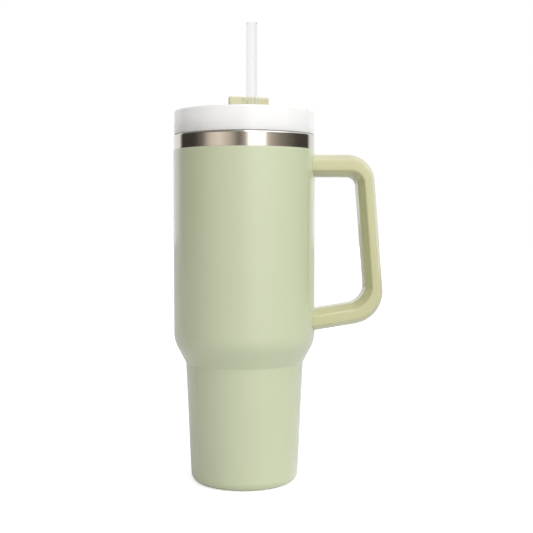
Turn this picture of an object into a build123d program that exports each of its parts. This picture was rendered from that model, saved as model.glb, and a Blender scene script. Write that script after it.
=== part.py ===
from build123d import *
import math
import os

os.makedirs("parts", exist_ok=True)

# Insulated travel mug. Millimetres, +Z up, the table at z = 0, the handle toward +X.

# ---- vessel ----
body_radius = 49.5
waist_radius = 41.3
foot_radius = 37.4
waist_height = 84.4
shoulder_height = 100.0
paint_top = 232.8
neck_band_height = 10.5
foot_round = 6.4
waist_round = 2.5
shoulder_round = 22.0
sheet = 0.8
vacuum_gap = 2.9
band_step = 0.3
floor_height = 10.0
lip_round = 1.5
hem_radius = 29.0
hem_height = 3.0
liner_bore = body_radius - 2 * sheet - vacuum_gap

rim_top = paint_top + neck_band_height

# ---- base pieces ----
dimple_radius = 8.0
dimple_rise = 1.4
evacuation_radius = 1.2
base_cover_thickness = 1.2
base_cover_clearance = 0.3
getter_radius = 6.5
getter_thickness = 2.0
getter_offset = 17.0

# ---- handle ----
handle_depth = 33.8
bevel_depth = 9.6
bevel_run = 3.7
ridge_round = 0.6
upper_arm_drop = 10.8
upper_arm_thickness = 15.0
upper_arm_height = paint_top - upper_arm_drop
lower_arm_height = 116.2
lower_arm_thickness = 14.8
lower_arm_reference = 11.0
lower_arm_slope = 0.155
grip_height = (upper_arm_height + lower_arm_height) / 2
grip_reach = 38.8
grip_thickness = 12.0
grip_flare = 0.08
outer_top_round = 19.0
outer_bottom_round = 23.0
inner_top_round = 6.2
inner_bottom_round = 13.0
handle_wall = 2.8
cover_thickness = 2.0
cover_width = 14.0
channel_width = 10.0
cover_start = 17.5
cover_side_gap = 0.05
handle_seat_gap = 0.1

# ---- handle fixings ----
fixing_reach = 7.5
tongue_length = 7.0
tongue_width = 20.0
tongue_thickness = 6.0
foot_width = 22.0
foot_height = 9.2
foot_thickness = 1.5
pocket_gap = 0.1
screw_radius = 1.6
screw_head_radius = 3.2
screw_head_height = 1.8
screw_bite = 5.0
plug_radius = 3.5
plug_thickness = 1.4

# ---- lid ----
lid_turn = 14.3
lid_seat_gap = 0.3
lid_height = 16.2
lid_radius = body_radius - 0.6
lid_draft = 0.3
lid_wall = 2.3
lid_top_round = 1.1
deck_drop = 8.8
deck_thickness = 2.2
plug_depth = 14.0
plug_wall = 2.0
plug_gap = 1.8
flange_thickness = 1.8
thread_pitch = 6.0
thread_height = 1.2
thread_turns = 1.2
plug_thread_turns = 0.6
thread_width = 1.6
gasket_height = 2.4
gasket_groove = 1.0
fit_gap = 0.3
lid_bottom = rim_top + lid_seat_gap
lid_top = lid_bottom + lid_height
deck_top = lid_top - deck_drop
deck_bottom = deck_top - deck_thickness
plug_radius_outer = liner_bore - plug_gap
plug_bottom = lid_bottom - plug_depth
thread_start = plug_bottom + thread_width
plug_thread_start = thread_start + thread_pitch / 2

# ---- rotating cover ----
rotor_radius = 38.0
rotor_thickness = 2.2
rotor_turn = 60.0
rotor_gap = 0.3
hub_radius = 5.0
hub_fit = 0.08
hub_seal_width = 2.7
hub_seal_depth = 1.2
clip_width = 3.5
clip_thickness = 1.6
tab_width = 28.6
tab_thickness = 3.0
tab_height = 15.3
tab_offset = 11.0
drink_radius = 31.5
drink_width = 9.0
drink_span = 26.0
drink_seal_margin = 3.0
drink_seal_thickness = 1.0
rotor_bottom = deck_top + rotor_gap
rotor_top = rotor_bottom + rotor_thickness

# ---- straw ----
straw_radius = 3.85
straw_wall = 0.9
straw_offset = 18.5
straw_stand = 58.1
straw_floor_gap = 1.7
straw_fit = 0.06
straw_swing_gap = 0.75
straw_seal_wall = 1.3
straw_boss_wall = 1.4
straw_boss_height = 2.0
straw_seal_lip = 0.6
straw_top = lid_top + straw_stand
straw_bottom = floor_height + sheet + straw_floor_gap


def crossing(first, second):
    """Point where two lines meet, each line a point and a direction."""
    (px, pz), (ux, uz) = first
    (qx, qz), (vx, vz) = second
    t = ((qx - px) * vz - (qz - pz) * vx) / (ux * vz - uz * vx)
    return (px + t * ux, pz + t * uz)


def inset_line(start, end, inset):
    """Line through two points, moved to its left by the inset."""
    dx, dz = end[0] - start[0], end[1] - start[1]
    length = math.hypot(dx, dz)
    shifted = (start[0] - dz * inset / length, start[1] + dx * inset / length)
    return (shifted, (dx, dz))


def vessel_outline(inset, floor, top):
    """Half section of the vessel, from the axis round to the axis, drawn in by the inset."""
    lower = inset_line((foot_radius, 0), (waist_radius, waist_height), inset)
    cone = inset_line((waist_radius, waist_height), (body_radius, shoulder_height), inset)
    side = inset_line((body_radius, shoulder_height), (body_radius, paint_top), inset)
    return [
        (0, floor),
        crossing(lower, ((0, floor), (1, 0))),
        crossing(lower, cone),
        crossing(cone, side),
        (body_radius - inset, top),
        (0, top),
    ]


def round_corner(sketch, point, radius):
    """Rounds the corner of the sketch that lies nearest to the point."""
    fillet(sketch.vertices().sort_by_distance((point[0], point[1], 0))[0], radius)


def vessel_region(sketch, inset, floor, top):
    """Fills the vessel half section and rounds its foot, waist and shoulder."""
    points = vessel_outline(inset, floor, top)
    Polygon(*points, align=None)
    round_corner(sketch, points[1], foot_round - inset * 0.6)
    round_corner(sketch, points[2], waist_round + inset)
    round_corner(sketch, points[3], shoulder_round - inset)


def handle_lines(outer_inset, inner_inset):
    """The six straight lines of the handle loop: outer upper, grip, lower, then inner."""
    upper_half = upper_arm_thickness / 2
    lower_half = lower_arm_thickness / 2
    grip_half = grip_thickness / 2
    lower_x = body_radius + lower_arm_reference
    grip_x = body_radius + grip_reach
    lower_scale = math.hypot(1, lower_arm_slope)
    grip_scale = math.hypot(1, grip_flare)
    outward = (1, 0)
    lower_way = (1, lower_arm_slope)
    grip_way = (-grip_flare, 1)
    outer = (
        ((0, upper_arm_height + upper_half - outer_inset), outward),
        ((grip_x + grip_half - outer_inset * grip_scale, grip_height), grip_way),
        ((lower_x, lower_arm_height - lower_half + outer_inset * lower_scale), lower_way),
    )
    inner = (
        ((0, upper_arm_height - upper_half + inner_inset), outward),
        ((grip_x - grip_half + inner_inset * grip_scale, grip_height), grip_way),
        ((lower_x, lower_arm_height + lower_half - inner_inset * lower_scale), lower_way),
    )
    return outer, inner


def loop_path(lines, start):
    """Corner points along three of the loop's lines, beginning and ending at x = start."""
    upper, grip, lower = lines
    edge = ((start, 0), (0, 1))
    return [crossing(upper, edge), crossing(upper, grip), crossing(lower, grip), crossing(lower, edge)]


def loop_band(sketch, far, near, far_rounds, near_rounds):
    """Fills the band between two loop paths and rounds its four corners."""
    Polygon(*far, *reversed(near), align=None)
    round_corner(sketch, far[1], far_rounds[0])
    round_corner(sketch, far[2], far_rounds[1])
    round_corner(sketch, near[1], near_rounds[0])
    round_corner(sketch, near[2], near_rounds[1])


def lid_plane(height):
    """Level plane at a height, turned to where the lid comes to rest on its thread."""
    return Plane.XY.offset(height).rotated((0, 0, lid_turn))


# The two arms carry the same fixing, each in its own frame: x out along the arm,
# z toward the finger opening.
fixing_x = body_radius + fixing_reach
lower_tilt = math.atan(lower_arm_slope)
lower_fixing_z = lower_arm_height + lower_arm_slope * (fixing_reach - lower_arm_reference)
upper_frame = Plane(origin=(fixing_x, 0, upper_arm_height), x_dir=(1, 0, 0), z_dir=(0, 0, -1))
lower_frame = Plane(
    origin=(fixing_x, 0, lower_fixing_z),
    x_dir=(math.cos(lower_tilt), 0, math.sin(lower_tilt)),
    z_dir=(-math.sin(lower_tilt), 0, math.cos(lower_tilt)),
)
upper_half = upper_arm_thickness / 2
lower_half = lower_arm_thickness / 2 * math.cos(lower_tilt)


straw_seal_radius = straw_radius + straw_fit + straw_seal_wall
straw_boss_radius = straw_seal_radius + straw_boss_wall
straw_slot_width = 2 * (straw_radius + straw_swing_gap)
hole_spot = (0, -straw_offset)
drink_mid = 90


# Centre lines of the two openings in the deck and of the one in the rotating cover.
straw_path = CenterArc((0, 0), straw_offset, -90, rotor_turn)
drink_path = CenterArc((0, 0), drink_radius, drink_mid - drink_span / 2, drink_span)
rotor_path = CenterArc((0, 0), drink_radius, drink_mid - rotor_turn - drink_span / 2, drink_span)


# ---- outer shell: drawn sheet, painted, hemmed up under the base ----
with BuildPart() as outer_shell:
    with BuildSketch(Plane.XZ) as skin:
        vessel_region(skin, 0, 0, paint_top)
    revolve(axis=Axis.Z)
    with BuildSketch(Plane.XZ) as hollow:
        vessel_region(hollow, sheet, sheet, paint_top)
    revolve(axis=Axis.Z, mode=Mode.SUBTRACT)
    with BuildSketch(Plane.XY):
        Circle(hem_radius + sheet)
    extrude(amount=hem_height)
    with BuildSketch(Plane.XY):
        Circle(hem_radius)
    extrude(amount=hem_height, mode=Mode.SUBTRACT)
outer_shell.part.label = "outer_shell"
export_step(outer_shell.part, "parts/outer_shell.step")

# ---- liner: inner wall, rolled lip and the bare band round the neck ----
liner_inset = sheet + vacuum_gap
band_radius = body_radius - band_step
with BuildPart() as liner:
    with BuildSketch(Plane.XZ) as wall:
        vessel_region(wall, liner_inset, floor_height, rim_top)
    revolve(axis=Axis.Z)
    with BuildSketch(Plane.XZ) as band:
        with Locations((0, paint_top)):
            Rectangle(band_radius, neck_band_height, align=Align.MIN)
        round_corner(band, (band_radius, rim_top), lip_round)
    revolve(axis=Axis.Z)
    with BuildSketch(Plane.XZ):
        with Locations((liner_bore, paint_top)):
            Rectangle(band_radius - sheet - liner_bore, neck_band_height - sheet, align=Align.MIN)
    revolve(axis=Axis.Z, mode=Mode.SUBTRACT)
    with BuildSketch(Plane.XZ):
        with Locations((0, paint_top)):
            Rectangle(liner_bore + sheet, neck_band_height - sheet / 2, align=Align.MIN)
    revolve(axis=Axis.Z)
    with BuildSketch(Plane.XZ) as bore:
        vessel_region(bore, liner_inset + sheet, floor_height + sheet, rim_top)
    revolve(axis=Axis.Z, mode=Mode.SUBTRACT)
    lip_edge = liner.edges().filter_by(GeomType.CIRCLE).group_by(Axis.Z)[-1].sort_by(SortBy.RADIUS)[0]
    fillet(lip_edge, sheet / 2)
    with BuildLine() as liner_helix:
        Helix(
            pitch=thread_pitch,
            height=thread_pitch * thread_turns,
            radius=liner_bore,
            center=(0, 0, thread_start),
        )
    with BuildSketch(Plane.XZ):
        with Locations((liner_bore + sheet / 2, thread_start)):
            Trapezoid(
                thread_width * 1.3,
                thread_height + sheet / 2,
                65,
                rotation=90,
                align=(Align.CENTER, Align.MIN),
            )
    sweep(path=liner_helix.line, is_frenet=True)
liner.part.label = "liner"
export_step(liner.part, "parts/liner.step")

# ---- outer bottom: disc on the hem, dimpled over the evacuation hole ----
with BuildPart() as outer_bottom:
    with BuildSketch(Plane.XY.offset(hem_height)):
        Circle(hem_radius + 3)
    extrude(amount=sheet)
    with BuildSketch(Plane.XY.offset(hem_height)):
        Circle(dimple_radius + sheet)
    extrude(amount=dimple_rise + sheet)
    with BuildSketch(Plane.XY.offset(hem_height)):
        Circle(dimple_radius)
    extrude(amount=dimple_rise, mode=Mode.SUBTRACT)
    with BuildSketch(Plane.XY.offset(hem_height)):
        Circle(evacuation_radius)
    extrude(amount=dimple_rise + sheet, mode=Mode.SUBTRACT)
outer_bottom.part.label = "outer_bottom"
export_step(outer_bottom.part, "parts/outer_bottom.step")

# ---- vacuum seal: solder bead filling the evacuation hole ----
with BuildPart() as vacuum_seal:
    with BuildSketch(Plane.XY.offset(hem_height + dimple_rise - 0.7)):
        Circle(3 * evacuation_radius)
    extrude(amount=0.7)
    with BuildSketch(Plane.XY.offset(hem_height + dimple_rise)):
        Circle(evacuation_radius)
    extrude(amount=sheet)
vacuum_seal.part.label = "vacuum_seal"
export_step(vacuum_seal.part, "parts/vacuum_seal.step")

# ---- getter: pellet fixed in the vacuum space ----
with BuildPart() as getter:
    with BuildSketch(Plane.XY.offset(hem_height + sheet)):
        with Locations((getter_offset, 0)):
            Circle(getter_radius)
    extrude(amount=getter_thickness)
    fillet(getter.edges().group_by(Axis.Z)[-1], 0.5)
getter.part.label = "getter"
export_step(getter.part, "parts/getter.step")

# ---- base cover: disc bonded under the outer bottom ----
with BuildPart() as base_cover:
    with BuildSketch(Plane.XY.offset(hem_height - base_cover_thickness)):
        Circle(hem_radius - base_cover_clearance)
    extrude(amount=base_cover_thickness)
    fillet(base_cover.edges().group_by(Axis.Z)[0], 0.4)
base_cover.part.label = "base_cover"
export_step(base_cover.part, "parts/base_cover.step")

# ---- handle frame: bevelled loop with a channel open toward the fingers ----
solid_outer, solid_inner = handle_lines(0, 0)
channel_outer, channel_inner = handle_lines(handle_wall, 0)
cover_inner = handle_lines(0, cover_thickness)[1]
loop_start = body_radius - 12
loop_rounds = (outer_top_round, outer_bottom_round)
finger_rounds = (inner_top_round, inner_bottom_round)
channel_rounds = (outer_top_round - handle_wall, outer_bottom_round - handle_wall)
cover_rounds = (inner_top_round + cover_thickness, inner_bottom_round + cover_thickness)
with BuildPart() as handle_frame:
    with BuildSketch(Plane.XZ) as loop:
        loop_band(
            loop,
            loop_path(solid_outer, loop_start),
            loop_path(solid_inner, loop_start),
            loop_rounds,
            finger_rounds,
        )
    extrude(amount=handle_depth / 2, both=True)
    for side in (handle_frame.faces().sort_by(Axis.Y)[0], handle_frame.faces().sort_by(Axis.Y)[-1]):
        ridge = side.edges().filter_by(lambda e: e.center().X > loop_start + 0.01)
        chamfer(ridge, length=bevel_run, length2=bevel_depth, reference=side)
    ridges = handle_frame.edges().filter_by(lambda e: abs(e.center().Y) > handle_depth / 2 - 0.01)
    fillet(ridges.filter_by(lambda e: e.center().X > loop_start + 0.01), ridge_round)
    with BuildSketch(Plane.XY):
        Circle(body_radius + handle_seat_gap)
    extrude(amount=rim_top, mode=Mode.SUBTRACT)
    with BuildSketch(Plane.XZ) as channel:
        loop_band(
            channel,
            loop_path(channel_outer, body_radius + cover_start + 2),
            loop_path(channel_inner, body_radius + cover_start + 2),
            channel_rounds,
            finger_rounds,
        )
    extrude(amount=channel_width / 2, both=True, mode=Mode.SUBTRACT)
    with BuildSketch(Plane.XZ) as rebate:
        loop_band(
            rebate,
            loop_path(cover_inner, body_radius + cover_start),
            loop_path(solid_inner, body_radius + cover_start),
            cover_rounds,
            finger_rounds,
        )
    extrude(amount=cover_width / 2 + cover_side_gap, both=True, mode=Mode.SUBTRACT)
    for frame, half in ((upper_frame, upper_half), (lower_frame, lower_half)):
        with BuildSketch(frame.offset(-tongue_thickness / 2 - pocket_gap)):
            with Locations((tongue_length + pocket_gap, 0)):
                Rectangle(40, tongue_width + 2 * pocket_gap, align=(Align.MAX, Align.CENTER))
        extrude(amount=tongue_thickness + 2 * pocket_gap, mode=Mode.SUBTRACT)
        with BuildSketch(frame.offset(tongue_thickness / 2)):
            Circle(screw_radius)
        extrude(amount=half, mode=Mode.SUBTRACT)
        with BuildSketch(frame.offset(half - plug_thickness - screw_head_height)):
            Circle(plug_radius)
        extrude(amount=half, mode=Mode.SUBTRACT)
    for height in (upper_arm_height, lower_fixing_z - lower_arm_slope * fixing_reach):
        with BuildSketch(Plane.XY.offset(height - foot_height / 2 - pocket_gap)):
            Circle(body_radius + foot_thickness + pocket_gap)
            Rectangle(4 * body_radius, foot_width + 2 * pocket_gap, mode=Mode.INTERSECT)
            with Locations((body_radius, 0)):
                Rectangle(20, foot_width + 2 * pocket_gap, mode=Mode.INTERSECT)
        extrude(amount=foot_height + 2 * pocket_gap, mode=Mode.SUBTRACT)
handle_frame.part.label = "handle_frame"
export_step(handle_frame.part, "parts/handle_frame.step")

# ---- handle cover: strip closing the channel, flush with the finger side ----
with BuildPart() as handle_cover:
    with BuildSketch(Plane.XZ) as strip:
        loop_band(
            strip,
            loop_path(cover_inner, body_radius + cover_start),
            loop_path(solid_inner, body_radius + cover_start),
            cover_rounds,
            finger_rounds,
        )
    extrude(amount=cover_width / 2, both=True)
handle_cover.part.label = "handle_cover"
export_step(handle_cover.part, "parts/handle_cover.step")


def build_bracket(frame, height):
    """Welded foot on the shell with a tongue reaching out into the handle."""
    with BuildPart() as bracket:
        with BuildSketch(Plane.XY.offset(height - foot_height / 2)):
            Circle(body_radius + foot_thickness)
            with Locations((body_radius, 0)):
                Rectangle(20, foot_width, mode=Mode.INTERSECT)
        extrude(amount=foot_height)
        with BuildSketch(frame.offset(-tongue_thickness / 2)):
            with Locations((tongue_length, 0)):
                Rectangle(25, tongue_width, align=(Align.MAX, Align.CENTER))
        extrude(amount=tongue_thickness)
        with BuildSketch(frame.offset(tongue_thickness / 2 - screw_bite)):
            Circle(screw_radius)
        extrude(amount=screw_bite, mode=Mode.SUBTRACT)
        with BuildSketch(Plane.XY):
            Circle(body_radius)
        extrude(amount=rim_top, mode=Mode.SUBTRACT)
    return bracket.part


def build_screw(frame, half):
    """Pan-head screw from the finger side into the bracket tongue."""
    head = half - plug_thickness - screw_head_height
    with BuildPart() as screw:
        with BuildSketch(frame.offset(tongue_thickness / 2 - screw_bite)):
            Circle(screw_radius)
        extrude(amount=head - tongue_thickness / 2 + screw_bite)
        with BuildSketch(frame.offset(head)):
            Circle(screw_head_radius)
        extrude(amount=screw_head_height)
        with BuildSketch(frame.offset(half - plug_thickness)):
            RegularPolygon(screw_radius, 6)
        extrude(amount=-1.0, mode=Mode.SUBTRACT)
    return screw.part


def build_plug(frame, half):
    """Flush plug over the screw head."""
    with BuildPart() as plug:
        with BuildSketch(frame.offset(half - plug_thickness)):
            Circle(plug_radius - 0.05)
        extrude(amount=plug_thickness)
    return plug.part


# ---- fixings of the upper arm ----
upper_bracket = build_bracket(upper_frame, upper_arm_height)
upper_bracket.label = "upper_bracket"
export_step(upper_bracket, "parts/upper_bracket.step")
upper_screw = build_screw(upper_frame, upper_half)
upper_screw.label = "upper_screw"
export_step(upper_screw, "parts/upper_screw.step")
upper_plug = build_plug(upper_frame, upper_half)
upper_plug.label = "upper_plug"
export_step(upper_plug, "parts/upper_plug.step")

# ---- fixings of the lower arm ----
lower_bracket = build_bracket(lower_frame, lower_fixing_z - lower_arm_slope * fixing_reach)
lower_bracket.label = "lower_bracket"
export_step(lower_bracket, "parts/lower_bracket.step")
lower_screw = build_screw(lower_frame, lower_half)
lower_screw.label = "lower_screw"
export_step(lower_screw, "parts/lower_screw.step")
lower_plug = build_plug(lower_frame, lower_half)
lower_plug.label = "lower_plug"
export_step(lower_plug, "parts/lower_plug.step")

# ---- lid shell: drum standing on the lip, with the deck sunk inside it ----
with BuildPart() as lid_shell:
    with BuildSketch(Plane.XZ) as drum:
        Polygon(
            (0, deck_bottom),
            (lid_radius - lid_wall, deck_bottom),
            (lid_radius - lid_wall, lid_bottom),
            (lid_radius, lid_bottom),
            (lid_radius - lid_draft, lid_top),
            (lid_radius - lid_wall, lid_top),
            (lid_radius - lid_wall, deck_top),
            (0, deck_top),
            align=None,
        )
        round_corner(drum, (lid_radius - lid_draft, lid_top), lid_top_round)
        round_corner(drum, (lid_radius - lid_wall, lid_top), lid_top_round * 0.8)
        round_corner(drum, (lid_radius - lid_wall, deck_top), 1.5)
        round_corner(drum, (lid_radius, lid_bottom), 0.4)
    revolve(axis=Axis.Z)
    with BuildSketch(Plane.XY.offset(deck_bottom)):
        Circle(hub_radius + hub_fit)
    extrude(amount=deck_thickness, mode=Mode.SUBTRACT)
    with BuildSketch(Plane.XY.offset(deck_top - hub_seal_depth)):
        Circle(hub_radius + fit_gap + hub_seal_width)
    extrude(amount=hub_seal_depth, mode=Mode.SUBTRACT)
    with BuildSketch(lid_plane(deck_bottom)):
        SlotArc(straw_path, straw_slot_width)
        SlotArc(drink_path, drink_width)
    extrude(amount=deck_thickness, mode=Mode.SUBTRACT)
lid_shell.part.label = "lid_shell"
export_step(lid_shell.part, "parts/lid_shell.step")

# ---- lid plug: threaded ring welded under the deck ----
with BuildPart() as lid_plug:
    with BuildSketch(Plane.XZ):
        Polygon(
            (plug_radius_outer - plug_wall, plug_bottom),
            (plug_radius_outer, plug_bottom),
            (plug_radius_outer, lid_bottom - lid_seat_gap - gasket_height - fit_gap),
            (plug_radius_outer - gasket_groove, lid_bottom - lid_seat_gap - gasket_height - fit_gap),
            (plug_radius_outer - gasket_groove, lid_bottom),
            (lid_radius - lid_wall, lid_bottom),
            (lid_radius - lid_wall, lid_bottom + flange_thickness),
            (plug_radius_outer, lid_bottom + flange_thickness),
            (plug_radius_outer, deck_bottom),
            (plug_radius_outer - plug_wall - 0.6, deck_bottom),
            (plug_radius_outer - plug_wall - 0.6, lid_bottom - 2 * gasket_height),
            (plug_radius_outer - plug_wall, lid_bottom - 2.6 * gasket_height),
            align=None,
        )
    revolve(axis=Axis.Z)
    with BuildLine() as plug_helix:
        Helix(
            pitch=thread_pitch,
            height=thread_pitch * plug_thread_turns,
            radius=plug_radius_outer,
            center=(0, 0, plug_thread_start),
        )
    with BuildSketch(Plane.XZ):
        with Locations((plug_radius_outer - sheet / 2, plug_thread_start)):
            Trapezoid(
                thread_width * 1.3,
                thread_height + sheet / 2,
                65,
                rotation=-90,
                align=(Align.CENTER, Align.MIN),
            )
    sweep(path=plug_helix.line, is_frenet=True)
lid_plug.part.label = "lid_plug"
export_step(lid_plug.part, "parts/lid_plug.step")

# ---- lid gasket: ring under the flange, sealing on the liner wall ----
with BuildPart() as lid_gasket:
    with BuildSketch(Plane.XZ) as ring:
        with Locations((plug_radius_outer - gasket_groove + fit_gap, rim_top - gasket_height)):
            Rectangle(
                liner_bore - plug_radius_outer + gasket_groove - 2 * fit_gap,
                gasket_height,
                align=Align.MIN,
            )
        fillet(ring.vertices(), 0.5)
    revolve(axis=Axis.Z)
lid_gasket.part.label = "lid_gasket"
export_step(lid_gasket.part, "parts/lid_gasket.step")

# ---- hub seal: ring in the deck round the pivot of the rotating cover ----
with BuildPart() as hub_seal:
    with BuildSketch(Plane.XY.offset(deck_top - hub_seal_depth)):
        Circle(hub_radius + fit_gap + hub_seal_width)
        Circle(hub_radius + fit_gap, mode=Mode.SUBTRACT)
    extrude(amount=hub_seal_depth)
hub_seal.part.label = "hub_seal"
export_step(hub_seal.part, "parts/hub_seal.step")

# ---- rotor: disc, pivot hub, straw boss and the tab one turns it by ----
with BuildPart() as rotor:
    with BuildSketch(lid_plane(rotor_bottom)):
        Circle(rotor_radius)
    extrude(amount=rotor_thickness)
    fillet(rotor.edges().group_by(Axis.Z)[-1], 0.7)
    with BuildSketch(lid_plane(deck_bottom - rotor_gap - clip_thickness - 0.4)):
        Circle(hub_radius)
    extrude(amount=rotor_bottom - deck_bottom + rotor_gap + clip_thickness + 0.4)
    with BuildSketch(lid_plane(rotor_top)):
        with Locations(hole_spot):
            Circle(straw_boss_radius)
    extrude(amount=straw_boss_height)
    with BuildSketch(lid_plane(rotor_bottom)):
        with Locations((0, -tab_offset)):
            RectangleRounded(tab_width, tab_thickness, 1.2)
    extrude(amount=rotor_thickness + tab_height)
    tab_crown = rotor.edges().group_by(Axis.Z)[-1]
    fillet(tab_crown, 1.1)
    with BuildSketch(lid_plane(rotor_bottom)):
        with Locations(hole_spot):
            Circle(straw_seal_radius)
        SlotArc(rotor_path, drink_width)
    extrude(amount=rotor_thickness + straw_boss_height + tab_height, mode=Mode.SUBTRACT)
    with BuildSketch(lid_plane(rotor_bottom)):
        SlotArc(drink_path, drink_width + drink_seal_margin)
    extrude(amount=drink_seal_thickness - 0.2, mode=Mode.SUBTRACT)
rotor.part.label = "rotor"
export_step(rotor.part, "parts/rotor.step")

# ---- drink seal: pad let into the rotor over the drink opening ----
with BuildPart() as drink_seal:
    with BuildSketch(lid_plane(rotor_bottom - 0.2)):
        SlotArc(drink_path, drink_width + drink_seal_margin)
    extrude(amount=drink_seal_thickness)
drink_seal.part.label = "drink_seal"
export_step(drink_seal.part, "parts/drink_seal.step")

# ---- straw seal: grommet in the straw hole ----
with BuildPart() as straw_seal:
    with BuildSketch(lid_plane(rotor_bottom)):
        with Locations(hole_spot):
            Circle(straw_seal_radius)
    extrude(amount=rotor_thickness + straw_boss_height)
    with BuildSketch(lid_plane(rotor_top + straw_boss_height)):
        with Locations(hole_spot):
            Circle(straw_boss_radius - 0.3)
            Rectangle(20, 20, mode=Mode.INTERSECT)
    extrude(amount=straw_seal_lip)
    with BuildSketch(lid_plane(rotor_bottom)):
        with Locations(hole_spot):
            Circle(straw_radius + straw_fit)
    extrude(amount=20, mode=Mode.SUBTRACT)
    with BuildSketch(lid_plane(rotor_top + straw_boss_height)):
        with Locations((0, -tab_offset)):
            Rectangle(tab_width, tab_thickness + 2 * 0.1)
    extrude(amount=straw_seal_lip, mode=Mode.SUBTRACT)
straw_seal.part.label = "straw_seal"
export_step(straw_seal.part, "parts/straw_seal.step")

# ---- rotor clip: ring snapped on the hub under the deck ----
with BuildPart() as rotor_clip:
    with BuildSketch(lid_plane(deck_bottom - rotor_gap - clip_thickness)):
        Circle(hub_radius + clip_width)
        Circle(hub_radius, mode=Mode.SUBTRACT)
    extrude(amount=clip_thickness)
rotor_clip.part.label = "rotor_clip"
export_step(rotor_clip.part, "parts/rotor_clip.step")

# ---- straw: clear tube down to just above the floor ----
with BuildPart() as straw:
    with BuildSketch(lid_plane(straw_bottom)):
        with Locations(hole_spot):
            Circle(straw_radius)
            Circle(straw_radius - straw_wall, mode=Mode.SUBTRACT)
    extrude(amount=straw_top - straw_bottom)
    fillet(straw.edges().group_by(Axis.Z)[-1], 0.3)
straw.part.label = "straw"
export_step(straw.part, "parts/straw.step")
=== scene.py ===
# %% [markdown]
# Insulated travel mug, built around its CAD frame.
# The frame holds every solid in its true place, in metres, with the table at z = 0 and the handle
# toward +X. Here most visible surfaces are worked out again as smooth meshes, and the pieces are
# given finishes.

import math

import bmesh
import bpy
import numpy as np
from mathutils import Euler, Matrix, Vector
from mathutils.geometry import delaunay_2d_cdt


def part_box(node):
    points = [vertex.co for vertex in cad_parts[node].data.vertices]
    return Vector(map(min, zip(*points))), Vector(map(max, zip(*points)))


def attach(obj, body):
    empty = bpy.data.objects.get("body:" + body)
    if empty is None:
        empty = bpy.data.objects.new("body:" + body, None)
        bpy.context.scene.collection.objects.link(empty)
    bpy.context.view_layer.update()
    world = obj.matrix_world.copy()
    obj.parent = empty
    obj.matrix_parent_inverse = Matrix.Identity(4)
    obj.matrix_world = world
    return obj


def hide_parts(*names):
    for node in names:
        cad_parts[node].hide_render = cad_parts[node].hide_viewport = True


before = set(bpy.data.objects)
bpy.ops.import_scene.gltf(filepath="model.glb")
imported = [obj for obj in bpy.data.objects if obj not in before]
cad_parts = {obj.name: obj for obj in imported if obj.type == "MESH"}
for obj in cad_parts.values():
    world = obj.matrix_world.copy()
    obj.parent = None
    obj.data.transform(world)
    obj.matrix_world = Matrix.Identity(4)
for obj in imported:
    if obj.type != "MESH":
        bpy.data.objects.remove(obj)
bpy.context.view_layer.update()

# %% [markdown]
# Most of the mug is turned about one upright axis, so a handful of heights and radii say where
# everything is. The heights are read from the CAD nodes' boxes, so the looks follow the frame. The
# shell's radius is given as a number, and the reach of the shell's box is printed beside the lid's
# top.

# %% Heights from the frame, and the shell's radius
MM = 0.001


def top_of(node):
    """Height of a node's highest point."""
    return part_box(node)[1][2]


def foot_of(node):
    """Height of a node's lowest point."""
    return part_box(node)[0][2]


def reach_of(node):
    """Largest distance of a node's box from the upright axis, along X or Y."""
    low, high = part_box(node)
    return max(abs(low[0]), abs(low[1]), high[0], high[1])


shell_radius = 49.5 * MM
shell_top = top_of("outer_shell")
lip_top = top_of("liner")
lid_top = top_of("lid_shell")
print("shell radius", round(reach_of("outer_shell"), 5), "lid top", round(lid_top, 5))

# %% [markdown]
# A turned or swept surface is a grid of points: one parameter runs round it, the other along it.
# One helper turns such an array into a mesh, and closes it where the grid meets itself. It also
# reports open edges: a closed surface has none.


# %% Grid to mesh
def new_object(name, verts, faces):
    """A mesh object at the origin from an array of points and a list of faces, all of them turned
    the same way round and outwards: a closed surface encloses a positive volume when they are."""
    mesh = bpy.data.meshes.new(name)
    mesh.from_pydata(verts, [], faces)
    work = bmesh.new()
    work.from_mesh(mesh)
    bmesh.ops.remove_doubles(work, verts=work.verts, dist=1e-7)
    bmesh.ops.recalc_face_normals(work, faces=work.faces)
    if work.calc_volume(signed=True) < 0:
        bmesh.ops.reverse_faces(work, faces=work.faces)
    open_edges = sum(1 for e in work.edges if not e.is_manifold)
    work.to_mesh(mesh)
    work.free()
    mesh.polygons.foreach_set("use_smooth", np.ones(len(mesh.polygons), bool))
    mesh.set_sharp_from_angle(angle=math.radians(35))
    mesh.update()
    obj = bpy.data.objects.new(name, mesh)
    bpy.context.scene.collection.objects.link(obj)
    print(name, len(mesh.vertices), "points", len(mesh.polygons), "faces, open edges", open_edges)
    return obj


def grid_faces(rows, cols, wrap_rows, wrap_cols, start=0):
    """Quads of a grid of rows by cols points, joined round where asked."""
    r = np.arange(rows if wrap_rows else rows - 1)[:, None]
    c = np.arange(cols if wrap_cols else cols - 1)[None, :]
    a = r * cols + c
    b = r * cols + (c + 1) % cols
    d = ((r + 1) % rows) * cols + c
    e = ((r + 1) % rows) * cols + (c + 1) % cols
    return (np.stack([a, b, e, d], axis=-1).reshape(-1, 4) + start).tolist()


def fan_faces(ring, centre, flip=False):
    """Triangles from each side of a ring to a centre point."""
    nxt = np.roll(ring, -1)
    tri = np.stack([nxt, ring, np.full_like(ring, centre)], axis=-1)
    return (tri[:, ::-1] if flip else tri).tolist()


# %% [markdown]
# No made thing has a perfectly sharp corner, and the small roundings are what catch the light. A
# profile is written as plain corners with a radius each, which is how a drawing gives it, and the
# arcs are worked out from that. It's simpler than a bevel afterwards, and each radius stays exact.

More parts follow.
